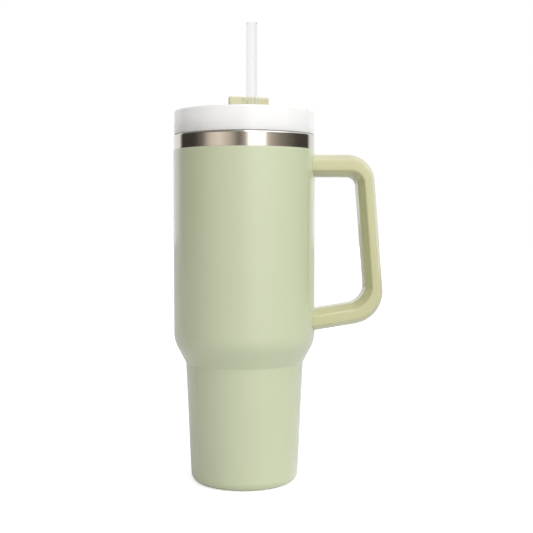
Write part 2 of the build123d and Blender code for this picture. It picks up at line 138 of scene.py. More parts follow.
# %% Profiles with rounded corners
def rounded(points, radii, step=2 * MM, turns=10):
    """Profile through the corners, each replaced by an arc of its radius that is tangent to both
    sides. An arc's centre lies on the corner's bisector, at radius over the sine of half the
    corner's angle. Straight runs are cut every step, so that shading stays true."""
    pts = np.asarray(points, float)
    out = [pts[:1]]
    for i in range(1, len(pts) - 1):
        back, ahead = pts[i - 1] - pts[i], pts[i + 1] - pts[i]
        back, ahead = back / np.linalg.norm(back), ahead / np.linalg.norm(ahead)
        half = math.acos(float(np.clip(back @ ahead, -1, 1))) / 2
        if radii[i] <= 0 or half > math.pi / 2 - 1e-4:
            out.append(pts[i : i + 1])
            continue
        middle = (back + ahead) / np.linalg.norm(back + ahead)
        centre = pts[i] + middle * radii[i] / math.sin(half)
        first = pts[i] + back * radii[i] / math.tan(half) - centre
        last = pts[i] + ahead * radii[i] / math.tan(half) - centre
        t = np.linspace(0, 1, turns)[:, None]
        spread = math.acos(float(np.clip(first @ last / radii[i] ** 2, -1, 1)))
        arc = np.sin((1 - t) * spread) * first + np.sin(t * spread) * last
        out.append(centre + arc / math.sin(spread))
    out.append(pts[-1:])
    corners = np.concatenate(out)
    runs = []
    for a, b in zip(corners[:-1], corners[1:]):
        n = max(1, int(math.ceil(np.linalg.norm(b - a) / step)))
        runs.append(a + (b - a) * np.linspace(0, 1, n, endpoint=False)[:, None])
    return np.concatenate(runs + [corners[-1:]])


# %% [markdown]
# Shell, liner, drum, hub, collar and straw are all round, so each is one profile carried round an
# axis. A Screw modifier could do that too, but an array of points leaves nothing to apply.

# %% Turning a profile
def turned(name, profile, segments=192, centre=(0.0, 0.0), closed=True):
    """Surface of revolution: a profile of radius and height carried round an upright axis, so that
    x is r cos u, y is r sin u and z is z. Where the profile starts or ends on the axis the ring
    shrinks to one point, and a fan of triangles closes it."""
    profile = np.asarray(profile, float)
    keep = np.ones(len(profile), bool)
    keep[1:] = np.linalg.norm(np.diff(profile, axis=0), axis=1) > 1e-7
    profile = profile[keep]
    if closed and np.linalg.norm(profile[0] - profile[-1]) < 1e-7:
        profile = profile[:-1]
    first_pole, last_pole = profile[0, 0] < 1e-7, profile[-1, 0] < 1e-7
    body = profile[int(first_pole) : len(profile) - int(last_pole)]
    u = np.linspace(0, 2 * math.pi, segments, endpoint=False)
    r, z = body[:, :1], body[:, 1:]
    pts = np.stack([r * np.cos(u), r * np.sin(u), z + 0 * u], axis=-1).reshape(-1, 3)
    faces = grid_faces(len(body), segments, closed and not first_pole, True)
    extra = []
    ring = np.arange(segments)
    if first_pole:
        faces += fan_faces(ring, len(pts))
        extra.append([0, 0, profile[0, 1]])
    if last_pole:
        faces += fan_faces(ring + (len(body) - 1) * segments, len(pts) + len(extra), flip=True)
        extra.append([0, 0, profile[-1, 1]])
    if extra:
        pts = np.concatenate([pts, np.array(extra)])
    return new_object(name, pts + np.array([centre[0], centre[1], 0.0]), faces)


# %% [markdown]
# The outer shell is drawn steel: straight above, a cone below the handle, then a slimmer foot that
# fits a cup holder. Its section is one closed loop, the outside going down, the hem under the base
# and the inside coming back up. The crease where cone meets foot is tight, the shoulder above it
# is a long soft bend, and those two radii give the body its look.

# %% The painted shell
sheet = 0.8 * MM
shoulder_round, waist_round, foot_round = 22 * MM, 2.5 * MM, 6.4 * MM
waist = np.array([41.3, 84.4]) * MM
shoulder_z = 100.0 * MM
foot_radius = 37.4 * MM
hem_radius, hem_top = 29.0 * MM, 3.0 * MM


def inset_corners(inset):
    """Foot, waist and shoulder corners of the vessel's section, moved inward by an inset. Each is
    where two neighbouring sides meet once both have been moved along their normals."""
    corners = np.array(
        [[foot_radius, 0], waist, [shell_radius, shoulder_z], [shell_radius, shell_top]]
    )
    way = np.diff(corners, axis=0)
    way /= np.linalg.norm(way, axis=1)[:, None]
    moved = corners[:-1] + np.stack([-way[:, 1], way[:, 0]], axis=1) * inset
    found = []
    for i in range(2):
        a = np.stack([way[i], -way[i + 1]], axis=1)
        t = np.linalg.solve(a, moved[i + 1] - moved[i])[0]
        found.append(moved[i] + way[i] * t)
    foot_slope = way[0, 0] / way[0, 1]
    return moved[0] - np.array([foot_slope, 1]) * moved[0, 1], found[0], found[1]


out_foot, out_waist, out_shoulder = inset_corners(0)
in_foot, in_waist, in_shoulder = inset_corners(sheet)
in_foot = in_foot + np.array([(in_waist - in_foot)[0] / (in_waist - in_foot)[1], 1]) * sheet
shell_loop = rounded(
    [
        (shell_radius - sheet, shell_top - 0.1 * MM),
        (shell_radius - sheet, shell_top),
        (shell_radius, shell_top),
        out_shoulder,
        out_waist,
        out_foot,
        (hem_radius, 0),
        (hem_radius, hem_top),
        (hem_radius + sheet, hem_top),
        (hem_radius + sheet, sheet),
        in_foot,
        in_waist,
        in_shoulder,
        (shell_radius - sheet, shell_top - 0.1 * MM),
    ],
    [0, 0.15 * MM, 0.35 * MM, shoulder_round, waist_round, foot_round, 0.5 * MM]
    + [0.2 * MM, 0.2 * MM, 0.2 * MM, 5.9 * MM, 3.3 * MM, shoulder_round - sheet, 0],
    turns=14,
)
painted_shell = turned("painted_shell", shell_loop[::-1], segments=224)

# %% [markdown]
# The inner wall and the bare band at the neck are one piece of steel: the wall comes up, rolls over
# into the lip and turns down outside as far as the paint. Drinkers see the band and, with the lid
# off, the bright inside, so both are made in one turned surface.

# %% The steel liner with its band
wall_out, wall_in = 3.7 * MM, 4.5 * MM
floor_z = foot_of("liner")
band_radius = shell_radius - 0.3 * MM
bore_radius = shell_radius - wall_in
lo_foot, lo_waist, lo_shoulder = inset_corners(wall_out)
li_foot, li_waist, li_shoulder = inset_corners(wall_in)


def at_height(low, high, z):
    """Point at a height on the line through two profile corners."""
    return low + (high - low) * (z - low[1]) / (high[1] - low[1])


liner_loop = rounded(
    [
        (0, floor_z + sheet),
        at_height(li_foot, li_waist, floor_z + sheet),
        li_waist,
        li_shoulder,
        (bore_radius, lip_top),
        (band_radius, lip_top),
        (band_radius, shell_top),
        (band_radius - sheet, shell_top),
        (band_radius - sheet, lip_top - sheet),
        (bore_radius + sheet, lip_top - sheet),
        lo_shoulder,
        lo_waist,
        at_height(lo_foot, lo_waist, floor_z),
        (0, floor_z),
    ],
    [0, 3.7 * MM, 7.0 * MM, 17.5 * MM, 0.6 * MM, 1.5 * MM, 0.1 * MM, 0.1 * MM, 0.6 * MM, 0.3 * MM]
    + [18.3 * MM, 6.2 * MM, 4.2 * MM, 0],
    turns=12,
)
steel_liner = turned("steel_liner", liner_loop[::-1], segments=224, closed=False)

# %% [markdown]
# The handle is a moulding with an eight-sided section: a flat front, back, outside and inside, and
# four wide bevels between them. Its two arms are thicker than the grip, and the outer corners have
# much larger radii than the finger side. So the outside and inside lines are worked out apart, and
# every point of the section is tied to one of them and set in from it along the shared normal.

# %% Lines of the handle loop
arm_z, lower_z, lower_x, lower_slope = 222.0 * MM, 116.2 * MM, 60.5 * MM, 0.155
grip_x, grip_z, grip_flare = 88.3 * MM, 169.1 * MM, 0.08
arm_half, lower_half, grip_half = 7.5 * MM, 7.4 * MM, 6.0 * MM
handle_half, bevel_run, bevel_depth = 16.9 * MM, 3.7 * MM, 9.6 * MM
flat_half = handle_half - bevel_depth
handle_deep = 14 * MM
outer_top_round, inner_top_round = 19 * MM, 6.2 * MM
outer_low_round, inner_low_round = 23 * MM, 13 * MM

line_normals = np.array([[0, 1], [1, grip_flare], [lower_slope, -1]], float)
line_normals /= np.linalg.norm(line_normals, axis=1)[:, None]
line_angles = np.arctan2(line_normals[:, 1], line_normals[:, 0])
outer_spots = np.array(
    [[0, arm_z + arm_half], [grip_x + grip_half, grip_z], [lower_x, lower_z - lower_half]]
)
inner_spots = np.array(
    [[0, arm_z - arm_half], [grip_x - grip_half, grip_z], [lower_x, lower_z + lower_half]]
)


def corner_arc(spots, corner, radius, turns):
    """Points of the arc that joins two of the three lines: its centre is one radius inside both,
    and each point is the centre plus the radius along the normal at that angle."""
    n = line_normals[corner : corner + 2]
    c = np.sum(n * spots[corner : corner + 2], axis=1) - radius
    angle = np.linspace(line_angles[corner], line_angles[corner + 1], turns)
    normal = np.stack([np.cos(angle), np.sin(angle)], axis=1)
    return np.linalg.solve(n, c) + radius * normal, normal


def section(recess):
    """The handle's section as offset from the nearer line, depth and which line: points run round
    the eight sides with rounded ridges. The inner flat is let in by the recess for the cover.
    Without a recess the seat's two inner points move in a little, so that no two coincide."""
    t = handle_deep
    seat, side = 7.05 * MM, (7.05 * MM if recess > 0 else 6.9 * MM)
    ridge, soft, fine = 1.2 * MM, 1.2 * MM, 0.2 * MM
    loop = rounded(
        [
            (t, 0),
            (t, flat_half),
            (t - bevel_run, handle_half),
            (bevel_run, handle_half),
            (0, flat_half),
            (0, seat),
            (recess, side),
            (recess, -side),
            (0, -seat),
            (0, -flat_half),
            (bevel_run, -handle_half),
            (t - bevel_run, -handle_half),
            (t, -flat_half),
            (t, -0.01 * MM),
        ],
        [0, soft, ridge, ridge, fine, 0, 0, 0, 0, fine, ridge, ridge, soft, 0],
        step=3 * MM,
        turns=6,
    )
    outside = loop[:, 0] > t / 2
    return np.where(outside, loop[:, 0] - t, loop[:, 0]), loop[:, 1], outside


# %% [markdown]
# The section is now carried along the loop. The arms start on the shell's round wall, so their
# first rows are slid out to it, and each end is closed by rows that follow the same curve. Where
# the strip lies, the section has a shallow seat let into its inner flat.

# %% Sweep along the loop
seat_radius = shell_radius + 0.05 * MM
cover_from = 67.0 * MM


def ring_at(outer, inner, normal, sect):
    """One ring of the sweep: each point is its own line's point plus its offset along the normal,
    with the section's depth along Y."""
    offset, depth, outside = sect
    flat = np.where(outside[:, None], outer, inner) + offset[:, None] * normal
    return np.stack([flat[:, 0], depth, flat[:, 1]], axis=1)


def arm_rows(ring, slope, shares, start_radius):
    """Rows of a straight arm: each point slides from the shell, where x squared plus y squared is
    the shell's radius squared, to its place in the corner's first ring."""
    x = np.sqrt(start_radius**2 - ring[:, 1] ** 2)
    move = x - ring[:, 0]
    end = ring + np.stack([move, 0 * move, slope * move], axis=1)
    return end + np.asarray(shares)[:, None, None] * (ring - end)


def sweep_rows(sect_of, shares_top, shares_low):
    """All rows of the loop, upper arm to lower arm. sect_of gives the section to use for a row,
    told whether the row lies where the cover does."""
    rows = []
    o1, n1 = corner_arc(outer_spots, 0, outer_top_round, 22)
    i1, _ = corner_arc(inner_spots, 0, inner_top_round, 22)
    o2, n2 = corner_arc(outer_spots, 1, outer_low_round, 24)
    i2, _ = corner_arc(inner_spots, 1, inner_low_round, 24)
    for share, covered in shares_top:
        first = ring_at(o1[0], i1[0], n1[0], sect_of(covered))
        rows.append(arm_rows(first, 0, [share], seat_radius)[0])
    middle = np.linspace(0, 1, 16)[1:-1, None]
    og, ig = o1[-1] + (o2[0] - o1[-1]) * middle, i1[-1] + (i2[0] - i1[-1]) * middle
    outer = np.concatenate([o1, og, o2])
    inner = np.concatenate([i1, ig, i2])
    normal = np.concatenate([n1, np.repeat(n1[-1:], len(og), axis=0), n2])
    offset, depth, outside = sect_of(True)
    flat = np.where(outside[None, :, None], outer[:, None], inner[:, None])
    flat = flat + offset[None, :, None] * normal[:, None]
    depths = np.broadcast_to(depth, flat.shape[:2])
    rows += list(np.stack([flat[..., 0], depths, flat[..., 1]], axis=-1))
    for share, covered in shares_low:
        last = ring_at(o2[-1], i2[-1], n2[-1], sect_of(covered))
        rows.append(arm_rows(last, lower_slope, [share], seat_radius)[0])
    return np.array(rows)


def share_at(x, corner_x):
    """How far along an arm a given x lies, as a share from the shell to the corner."""
    return (x - seat_radius) / (corner_x - seat_radius)


upper_corner_x = corner_arc(inner_spots, 0, inner_top_round, 2)[0][0][0]
lower_corner_x = corner_arc(inner_spots, 1, inner_low_round, 2)[0][-1][0]
top_share, low_share = share_at(cover_from, upper_corner_x), share_at(cover_from, lower_corner_x)


def shell_cap(ring, rows=6):
    """Rows that close an arm's end on the shell: the ring shrinks to its middle in Y and Z, and x
    keeps to the shell's curve."""
    centre = ring.mean(axis=0)
    k = np.linspace(1, 0.02, rows)[1:, None]
    y = ring[None, :, 1] * k
    z = centre[2] + (ring[None, :, 2] - centre[2]) * k
    return np.stack([np.sqrt(seat_radius**2 - y**2), y, z], axis=-1)


def closed_sweep(name, rows):
    """Mesh of a sweep whose first and last rings are closed by a fan to their middles."""
    count, around = rows.shape[:2]
    pts = rows.reshape(-1, 3)
    ends = np.stack([rows[0].mean(axis=0), rows[-1].mean(axis=0)])
    faces = grid_faces(count, around, False, True)
    ring = np.arange(around)
    faces += fan_faces(ring, len(pts), flip=True)
    faces += fan_faces(ring + (count - 1) * around, len(pts) + 1)
    return new_object(name, np.concatenate([pts, ends]), faces)


plain, let_in = section(0.0), section(2.0 * MM)
end_wall = 2e-4  # share of an arm over which the seat's end drops
near_shares = [(t, False) for t in np.linspace(0, top_share, 8)]
far_shares = [(t, True) for t in np.linspace(top_share + end_wall, 1, 6)[:-1]]
low_near = [(t, False) for t in np.linspace(low_share, 0, 8)]
low_far = [(t, True) for t in np.linspace(1, low_share + end_wall, 6)[1:]]
frame_rows = sweep_rows(
    lambda covered: let_in if covered else plain, near_shares + far_shares, low_far + low_near
)
frame_rows = np.concatenate(
    [shell_cap(frame_rows[0])[::-1], frame_rows, shell_cap(frame_rows[-1])]
)
handle_body = closed_sweep("handle_body", frame_rows)

# %% [markdown]
# A strip closes the handle's hollow on the finger side. It is its own moulding, so it is a second
# sweep along the same line, a hair narrower than the seat it lies in, which leaves a fine seam.


# %% The cover strip of the handle
def strip_section():
    """Section of the strip, all of it tied to the inner line: 14 mm wide and 2 mm thick."""
    half, thick, fine = 6.95 * MM, 1.98 * MM, 0.25 * MM
    loop = rounded(
        [(0, 0), (0, half), (thick, half), (thick, -half), (0, -half), (0, -0.01 * MM)],
        [0, fine, fine, fine, fine, 0],
        step=2 * MM,
        turns=5,
    )
    return loop[:, 0], loop[:, 1], np.zeros(len(loop), bool)


strip = strip_section()
strip_rows = sweep_rows(
    lambda covered: strip,
    [(t, True) for t in np.linspace(top_share + 4 * end_wall, 1, 6)[:-1]],
    [(t, True) for t in np.linspace(1, low_share + 4 * end_wall, 6)[1:]],
)
handle_strip = closed_sweep("handle_strip", strip_rows)


# %% [markdown]
# Under each arm a screw holds the handle to a bracket on the shell, and a small pressed-in plug
# hides its head. It is a turned button, tilted so that it stands square to the arm's lower face.

# %% Plugs over the handle screws
def button(name, spot, normal, radius, rise, sink):
    """Shallow round plug: a turned button with a soft rim, tilted so that its axis is the arm's
    normal in the XZ plane."""
    profile = rounded(
        [(0, rise), (radius * 0.75, rise * 0.8), (radius, 0), (radius, -sink), (0, -sink)],
        [0, 1.2 * MM, 0.08 * MM, 0.1 * MM, 0],
        step=0.6 * MM,
        turns=5,
    )
    obj = turned(name, profile, segments=48, closed=False)
    pts = np.empty(len(obj.data.vertices) * 3)
    obj.data.vertices.foreach_get("co", pts)
    pts = pts.reshape(-1, 3)
    up = np.array([normal[0], 0, normal[1]])
    side = np.array([normal[1], 0, -normal[0]])
    at = np.array([spot[0], 0, spot[1]])
    pts = at + pts[:, :1] * side + pts[:, 1:2] * np.array([0, 1, 0]) + pts[:, 2:] * up
    obj.data.vertices.foreach_set("co", pts.ravel())
    obj.data.update()
    return obj


screw_x = 57.0 * MM
lower_face = inner_spots[2] + np.array([1, lower_slope]) * (screw_x - lower_x)
upper_button = button(
    "upper_screw_plug", (screw_x, arm_z - arm_half), -line_normals[0], 3.4 * MM, 0.18 * MM, 1 * MM
)
lower_button = button(
    "lower_screw_plug", lower_face, -line_normals[2], 3.4 * MM, 0.18 * MM, 1 * MM
)

# %% [markdown]
# The lid is a white drum whose top is sunk to a deck. The drum is turned in one go with a tight
# radius along its upper rim. The deck has two curved openings, so it is a flat plate whose outlines
# are joined by triangles, with each outline's edge rolled over.

# %% The lid drum
deck_top, deck_bottom = 251.0 * MM, 248.8 * MM
lid_radius = shell_radius - 0.6 * MM
lid_bore = lid_radius - 2.3 * MM
drum_foot = lip_top + 0.05 * MM
deck_join = 43.5 * MM
lid_drum = turned(
    "lid_drum",
    rounded(
        [
            (deck_join, deck_top - 1 * MM),
            (deck_join, deck_top),
            (lid_bore, deck_top),
            (lid_bore, lid_top),
            (lid_radius - 0.3 * MM, lid_top),
            (lid_radius, drum_foot),
            (lid_bore, drum_foot),
            (lid_bore, deck_bottom),
            (deck_join, deck_bottom),
            (deck_join, deck_top - 1 * MM),
        ],
        [0, 0, 1.5 * MM, 0.9 * MM, 1.2 * MM, 0.2 * MM, 0.3 * MM, 0.3 * MM, 0, 0],
        step=1 * MM,
        turns=10,
    ),
    segments=224,
)

# %% [markdown]
# The deck is a plate with three openings: a round one for the hub, a curved one the straw moves
# along and a curved one to drink from. A boolean would leave long uneven triangles, so outlines
# are offset point by point and only the flat between them is filled.

# %% Plates with curved openings
lid_turn = math.radians(14.3)
straw_way = 18.5 * MM
drink_way, drink_half, drink_span = 31.5 * MM, 4.5 * MM, math.radians(26)


def circle(radius, centre=(0, 0), count=160):
    """Points round a circle."""
    u = np.linspace(0, 2 * math.pi, count, endpoint=False)
    return np.stack([centre[0] + radius * np.cos(u), centre[1] + radius * np.sin(u)], axis=1)


def curved_slot(way, half, start, span, count=24):
    """Outline of a slot bent round the axis: an outer arc, a half circle, an inner arc back and
    another half circle."""
    a = np.linspace(start, start + span, count)[:, None]
    b = np.linspace(0, math.pi, count // 2 + 2)[1:-1, None]
    spin = lambda t: np.concatenate([np.cos(t), np.sin(t)], axis=1)
    far, near = spin(np.array([[start + span]])), spin(np.array([[start]]))
    return np.concatenate(
        [
            (way + half) * spin(a),
            way * far + half * spin(start + span + b),
            (way - half) * spin(a[::-1]),
            way * near + half * spin(start + math.pi + b),
        ]
    )


def set_in(outline, inset):
    """Outline moved toward the plate's material by an inset, along each point's normal. The
    outline runs anticlockwise, and its normal is the tangent turned a quarter turn."""
    tangent = np.roll(outline, -1, axis=0) - np.roll(outline, 1, axis=0)
    tangent /= np.linalg.norm(tangent, axis=1)[:, None]
    return outline + inset * np.stack([-tangent[:, 1], tangent[:, 0]], axis=1)


def lid_spun(xy):
    """Points of the lid's own plan turned to where its thread leaves it."""
    c, s = math.cos(lid_turn), math.sin(lid_turn)
    return xy @ np.array([[c, s], [-s, c]])


def within(points, outline):
    """Which points lie inside an outline: a ray to the right crosses its sides an odd number of
    times."""
    a, b = outline[:, None, :], np.roll(outline, -1, axis=0)[:, None, :]
    x, y = points[None, :, 0], points[None, :, 1]
    crosses = (a[..., 1] > y) != (b[..., 1] > y)
    rise = np.where(crosses, b[..., 1] - a[..., 1], 1.0)
    reach = a[..., 0] + (y - a[..., 1]) * (b[..., 0] - a[..., 0]) / rise
    return (crosses & (x < reach)).sum(axis=0) % 2 == 1


def plate(name, outer, holes, low, high, roll):
    """Flat plate between two heights. Each outline's wall is a grid: straight up, then a quarter
    circle of the roll's radius inward. Triangles between the outlines fill top and bottom, and
    those whose middle lies inside an opening are left out."""
    t = np.linspace(0, math.pi / 2, 6)
    insets = np.concatenate([[0], roll * (1 - np.cos(t))])
    heights = np.concatenate([[low], high - roll + roll * np.sin(t)])
    pts, faces, tops, lows, base = [], [], [], [], 0
    for sign, loop in [(1, outer)] + [(-1, h) for h in holes]:
        walls = np.stack([lid_spun(set_in(loop, sign * i)) for i in insets])
        z = np.broadcast_to(heights[:, None, None], walls.shape[:2] + (1,))
        pts.append(np.concatenate([walls, z], axis=-1).reshape(-1, 3))
        faces += grid_faces(len(heights), len(loop), False, True, base)
        lows.append(np.arange(len(loop)) + base)
        tops.append(np.arange(len(loop)) + base + (len(heights) - 1) * len(loop))
        base += len(heights) * len(loop)
    pts = np.concatenate(pts)
    for rims in (tops, lows):
        flat = [Vector(p) for p in pts[np.concatenate(rims), :2]]
        starts = np.cumsum([0] + [len(r) for r in rims])
        edges = [
            (int(a + i), int(a + (i + 1) % len(r)))
            for a, r in zip(starts, rims)
            for i in range(len(r))
        ]
        fill = delaunay_2d_cdt(flat, edges, [], 1, 1e-9)
        index = np.concatenate(rims)
        origin = np.array([index[source[0]] for source in fill[3]])
        triangles = origin[np.array([list(f) for f in fill[2]])]
        middles = pts[triangles, :2].mean(axis=1)
        for rim in rims[1:]:
            open_part = within(middles, pts[rim, :2])
            triangles, middles = triangles[~open_part], middles[~open_part]
        faces += triangles.tolist()
    return new_object(name, pts, faces)


down = -math.pi / 2
lid_deck = plate(
    "lid_deck",
    circle(deck_join),
    [
        circle(8.0 * MM, count=64),
        curved_slot(straw_way, 4.6 * MM, down, math.radians(60)),
        curved_slot(drink_way, drink_half, math.pi / 2 - drink_span / 2, drink_span),
    ],
    deck_bottom,
    deck_top,
    0.3 * MM,
)

# %% [markdown]
# A disc lies on the deck and turns on a hub in the middle. It carries the tab one pushes, the
# raised collar the straw stands in, and one opening that meets the deck's when the tab is turned.

# %% The turning disc and its tab
rotor_bottom, rotor_top, rotor_radius = 251.3 * MM, 253.5 * MM, 38.0 * MM
hub_radius, hub_foot = 5.0 * MM, 246.5 * MM
seal_radius, boss_radius, boss_top = 5.21 * MM, 6.61 * MM, 255.5 * MM
straw_spot = np.array([0, -straw_way])
drink_start = math.pi / 2 - math.radians(60) - drink_span / 2
cover_disc = plate(
    "cover_disc",
    circle(rotor_radius, count=224),
    [
        circle(seal_radius, straw_spot, 96),
        curved_slot(drink_way, drink_half, drink_start, drink_span),
    ],
    rotor_bottom,
    rotor_top,
    0.6 * MM,
)
cover_hub = turned(
    "cover_hub",
    rounded(
        [(0, hub_foot), (hub_radius, hub_foot), (hub_radius, rotor_bottom), (0, rotor_bottom)],
        [0, 0.4 * MM, 0.1 * MM, 0],
    ),
    segments=64,
    closed=False,
)
straw_at = lid_spun(straw_spot)
straw_collar = turned(
    "straw_collar",
    rounded(
        [
            (seal_radius, rotor_top - 1 * MM),
            (boss_radius, rotor_top - 1 * MM),
            (boss_radius, boss_top),
            (seal_radius, boss_top),
            (seal_radius, rotor_top - 1 * MM),
        ],
        [0, 0.1 * MM, 0.45 * MM, 0.2 * MM, 0],
        turns=6,
    )[::-1],
    segments=96,
    centre=straw_at,
)

tab_half, tab_thick, tab_y, tab_top = 14.3 * MM, 1.5 * MM, -11.0 * MM, top_of("rotor")


def upright_blade(name, half, thick, low, high, corner, crown):
    """Upright blade: each ring is a rounded rectangle, and the rings near the top are set in along
    a quarter circle of the crown's radius while they climb, so every top edge is rolled over."""
    t = np.linspace(0, math.pi / 2, 9)
    levels = [(0, low), (0, high - crown)]
    levels += list(zip(crown * (1 - np.cos(t[1:])), high - crown + crown * np.sin(t[1:])))
    rings = []
    for inset, z in levels:
        w, d, r = half - inset, thick - inset, max(corner - inset, 0.15 * MM)
        corners = [(0, -d), (w, -d), (w, d), (-w, d), (-w, -d), (0, -d)]
        loop = rounded(corners, [0, r, r, r, r, 0], step=1, turns=8)[:-1]
        plan = lid_spun(loop + np.array([0, tab_y]))
        rings.append(np.column_stack([plan, np.full(len(loop), z)]))
    return closed_sweep(name, np.array(rings))


cover_tab = upright_blade(
    "cover_tab", tab_half, tab_thick, rotor_top - 0.4 * MM, tab_top, 1.25 * MM, 1.3 * MM
)

# %% [markdown]
# The straw is a hard clear tube. Its bore is part of the same surface, since light bends once going
# into the wall and again coming out, and without the inner wall it would look like a solid rod.

# %% The straw
straw_radius, straw_bore = 3.85 * MM, 2.95 * MM
straw_foot, straw_top = foot_of("straw"), top_of("straw")
straw_tube = turned(
    "straw_tube",
    rounded(
        [
            (straw_bore, straw_foot + 5 * MM),
            (straw_bore, straw_foot),
            (straw_radius, straw_foot),
            (straw_radius, straw_top),
            (straw_bore, straw_top),
            (straw_bore, straw_foot + 5 * MM),
        ],
        [0, 0.2 * MM, 0.3 * MM, 0.3 * MM, 0.3 * MM, 0],
        step=6 * MM,
        turns=6,
    ),
    segments=64,
    centre=straw_at,
)

# %% [markdown]
# The lid screws into the mouth. The thread inside the neck is pressed from the wall, so its ridge
# is low and rounded and dies away at both ends.


# %% The neck's thread
def thread_ridge(name, radius, start, pitch, turn_count, height, width):
    """Ridge along a helix inside a bore: the centre line climbs one pitch each turn, and across it
    the ridge stands out of the wall by half a cosine, scaled down over the first and last parts."""
    along = np.linspace(0, turn_count, int(120 * turn_count))[:, None]
    across = np.linspace(-1, 1, 13)[None, :]
    ease = np.clip(np.minimum(along, turn_count - along) / 0.08, 0, 1)
    ease = ease * ease * (3 - 2 * ease)
    sunk, root = 0.05 * MM, 0.3 * MM
    r = radius + sunk - (height + sunk) * (0.5 + 0.5 * np.cos(math.pi * across)) * ease
    z = start + pitch * along + width * across
    u = 2 * math.pi * along
    front = np.stack([r * np.cos(u), r * np.sin(u), z], axis=-1)
    back_r = radius + root + 0 * r
    back = np.stack([back_r * np.cos(u), back_r * np.sin(u), z], axis=-1)[:, ::-1]
    return closed_sweep(name, np.concatenate([front, back], axis=1))


neck_thread = thread_ridge(
    "neck_thread", bore_radius, 231.2 * MM, 6.0 * MM, 1.2, 1.15 * MM, 1.25 * MM
)

# %% [markdown]
# Each piece rides on the body it moves with, names the CAD nodes it stands for, and takes its
# material slot from the record.

# %% Bodies, nodes and slots
rides = [
    (painted_shell, "vessel", "shell_paint", ["outer_shell"]),
    (steel_liner, "vessel", "neck_steel", ["liner"]),
    (neck_thread, "vessel", "neck_steel", []),
    (handle_body, "vessel", "handle_plastic", ["handle_frame"]),
    (handle_strip, "vessel", "handle_plastic", ["handle_cover"]),
    (upper_button, "vessel", "handle_plastic", ["upper_plug"]),
    (lower_button, "vessel", "handle_plastic", ["lower_plug"]),
    (lid_drum, "lid", "lid_plastic", ["lid_shell"]),
    (lid_deck, "lid", "lid_plastic", ["lid_shell"]),
    (cover_disc, "cover", "rotor_plastic", ["rotor"]),
    (cover_hub, "cover", "rotor_plastic", ["rotor"]),
    (straw_collar, "cover", "rotor_plastic", ["rotor"]),
    (cover_tab, "cover", "rotor_plastic", ["rotor"]),
    (straw_tube, "straw", "straw_plastic", ["straw"]),
]
for obj, body, slot_name, nodes in rides:
    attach(obj, body)
    if nodes:
        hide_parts(*nodes)

# %% [markdown]
# A finish is a small network of nodes. These helpers add a node, link or set its inputs by name,
# and make the two things nearly every finish here needs: a noise over the object's own
# coordinates, and a slight shift between two close tones so that no surface is one flat colour.


# %% Node helpers
def add(tree, kind, inputs=None, **settings):
    """A new node with its options set. Each named input is linked when given another node's
    socket, and set to the value otherwise."""
    made = tree.nodes.new(kind)
    for key, value in settings.items():
        setattr(made, key, value)
    for key, value in (inputs or {}).items():
        if isinstance(value, bpy.types.NodeSocket):
            tree.links.new(value, made.inputs[key])
        else:
            made.inputs[key].default_value = value
    return made


def noise(tree, scale, detail=2.0, stretch=(1, 1, 1), roughness=0.5):
    """Noise between 0 and 1 over the object's own coordinates, each axis scaled by the stretch."""
    place = add(tree, "ShaderNodeTexCoord").outputs["Object"]
    mapped = add(tree, "ShaderNodeMapping", {"Vector": place, "Scale": stretch}).outputs["Vector"]
    spots = {"Vector": mapped, "Scale": scale, "Detail": detail, "Roughness": roughness}
    return add(tree, "ShaderNodeTexNoise", spots).outputs["Fac"]


def maths(tree, operation, *values):
    """Result of a Math node: an operation on numbers or other nodes' sockets."""
    return add(tree, "ShaderNodeMath", dict(enumerate(values)), operation=operation).outputs[0]


def carried(tree, value, start, end, low, high, **settings):
    """A value carried over from the range start to end to the range low to high."""
    limits = {"Value": value, "From Min": start, "From Max": end, "To Min": low, "To Max": high}
    return add(tree, "ShaderNodeMapRange", limits, **settings).outputs["Result"]


def tones(tree, factor, first, second):
    """Colour between two by a factor. Each is red, green, blue and 1, or another node's socket."""
    ends = {"Factor": factor, 6: first, 7: second}
    return add(tree, "ShaderNodeMix", ends, data_type="RGBA").outputs[2]


def new_finish(name, first, second, tone_noise, relief=None, **sockets):
    """Material: a Principled shader that goes between two tones by a noise, with a bump from a
    list of (noise, depth in metres) and the other sockets set as given. A socket with a pair of
    values goes from one to the other over the noise's middle part, 0.3 to 0.7."""
    made = bpy.data.materials.new(name)
    made.use_nodes = True
    tree = made.node_tree
    shader = tree.nodes["Principled BSDF"]
    tone = tones(tree, noise(tree, **tone_noise), (*first, 1), (*second, 1))
    tree.links.new(tone, shader.inputs["Base Color"])
    normal = None
    for bumps, depth in relief or []:
        inputs = {"Height": noise(tree, **bumps), "Strength": 1.0, "Distance": depth}
        if normal is not None:
            inputs["Normal"] = normal
        normal = add(tree, "ShaderNodeBump", inputs).outputs["Normal"]
    if normal is not None:
        tree.links.new(normal, shader.inputs["Normal"])
    for key, value in sockets.items():
        label = key.replace("_", " ")
        if isinstance(value, tuple) and len(value) == 2:
            shift = carried(tree, noise(tree, **tone_noise), 0.3, 0.7, *value)
            tree.links.new(shift, shader.inputs[label])
        else:
            shader.inputs[label].default_value = value
    print("finish", name, "has", len(tree.nodes), "nodes")
    return made


# %% [markdown]
# The body's sage coat is a baked powder: melted grains leave a shallow orange peel about a
# millimetre across, and a finer tooth on top of it keeps the sheen broad. Seen straight on it is
# satin, and toward the silhouette it mirrors what lies behind, so its coat gets smoother with the
# angle.

